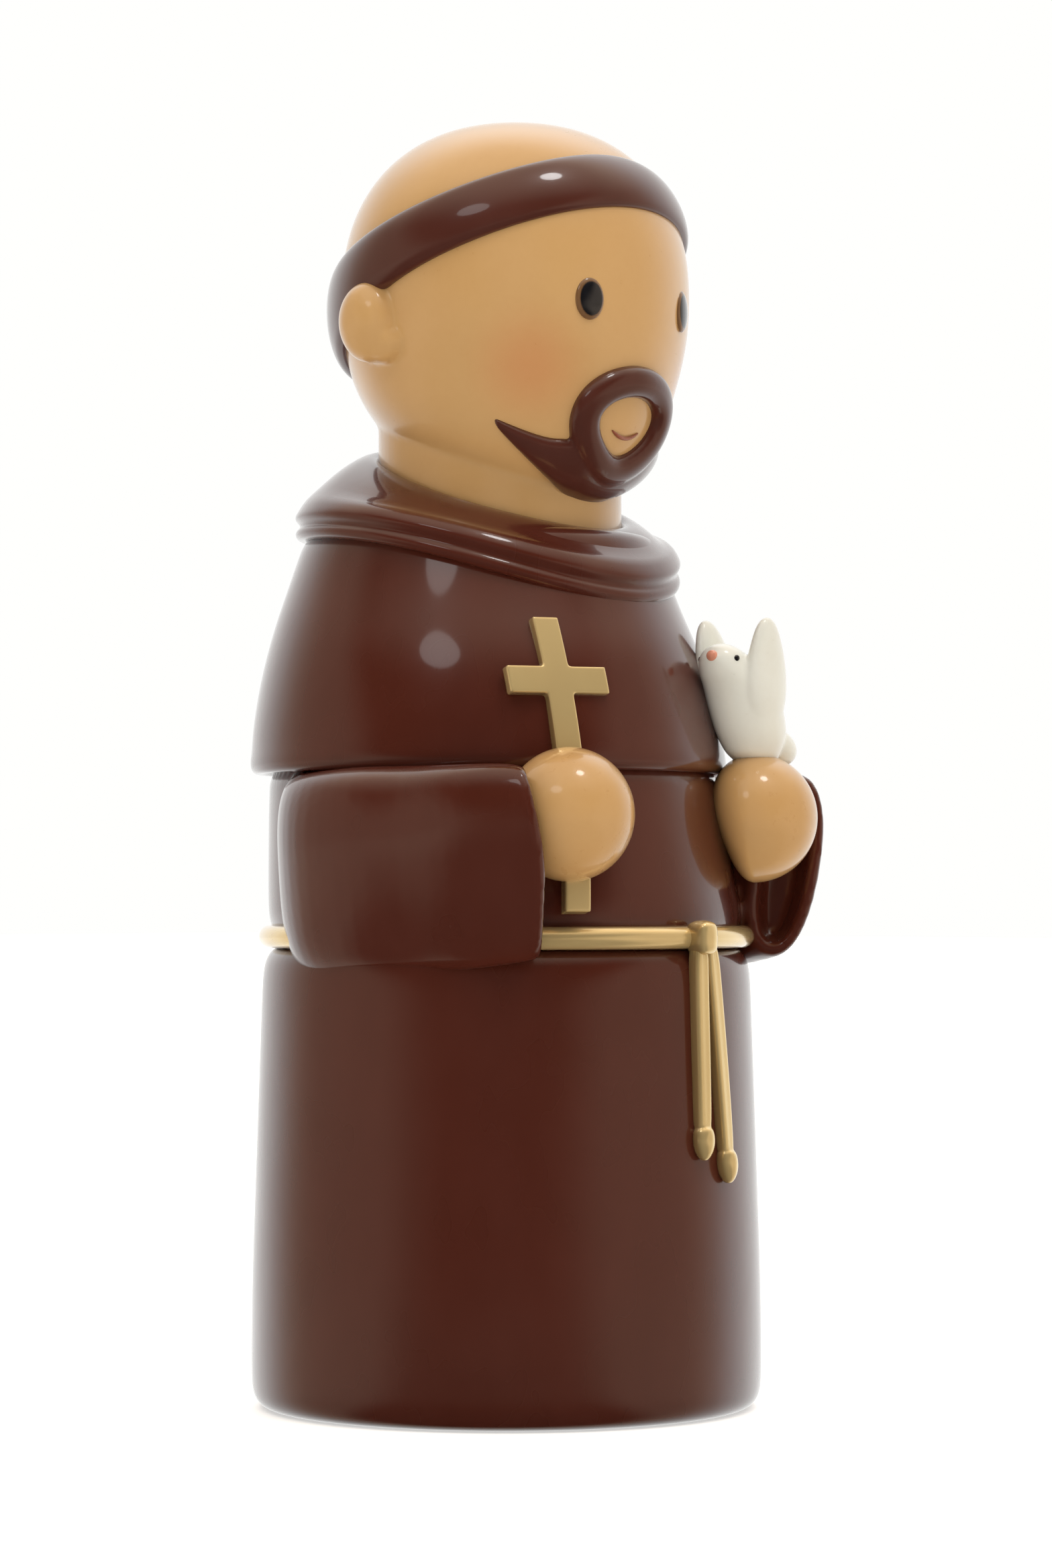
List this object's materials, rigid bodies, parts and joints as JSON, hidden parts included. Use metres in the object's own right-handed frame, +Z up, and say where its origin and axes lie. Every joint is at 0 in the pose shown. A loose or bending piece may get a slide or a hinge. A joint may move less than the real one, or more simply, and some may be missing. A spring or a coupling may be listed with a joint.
{
  "type": "friar figurine",
  "caption": "Small glossy painted friar figurine in a brown habit with a gold cord, holding a cross and a white dove, for standing on a shelf.",
  "frame": {"origin": "centre of the flat foot's underside", "axes": "+Z up to the crown of the head, -Y towards the front of the figure, +X towards the figure's own left hand, which holds the dove"},
  "size_m": [0.0544, 0.0539, 0.1298],
  "materials": {
    "habit_brown": "warm brown enamel under thick clear lacquer",
    "hair_brown": "dark brown enamel under clear lacquer",
    "skin": "flesh enamel with blushed cheeks under clear lacquer",
    "gold": "satin gold paint",
    "dove_white": "off-white enamel under clear lacquer",
    "dove_pink": "pale pink paint",
    "eye_black": "black paint, glossy"
  },
  "bodies": {
    "root": {"statue": "habit_brown"}
  },
  "joints": []
}
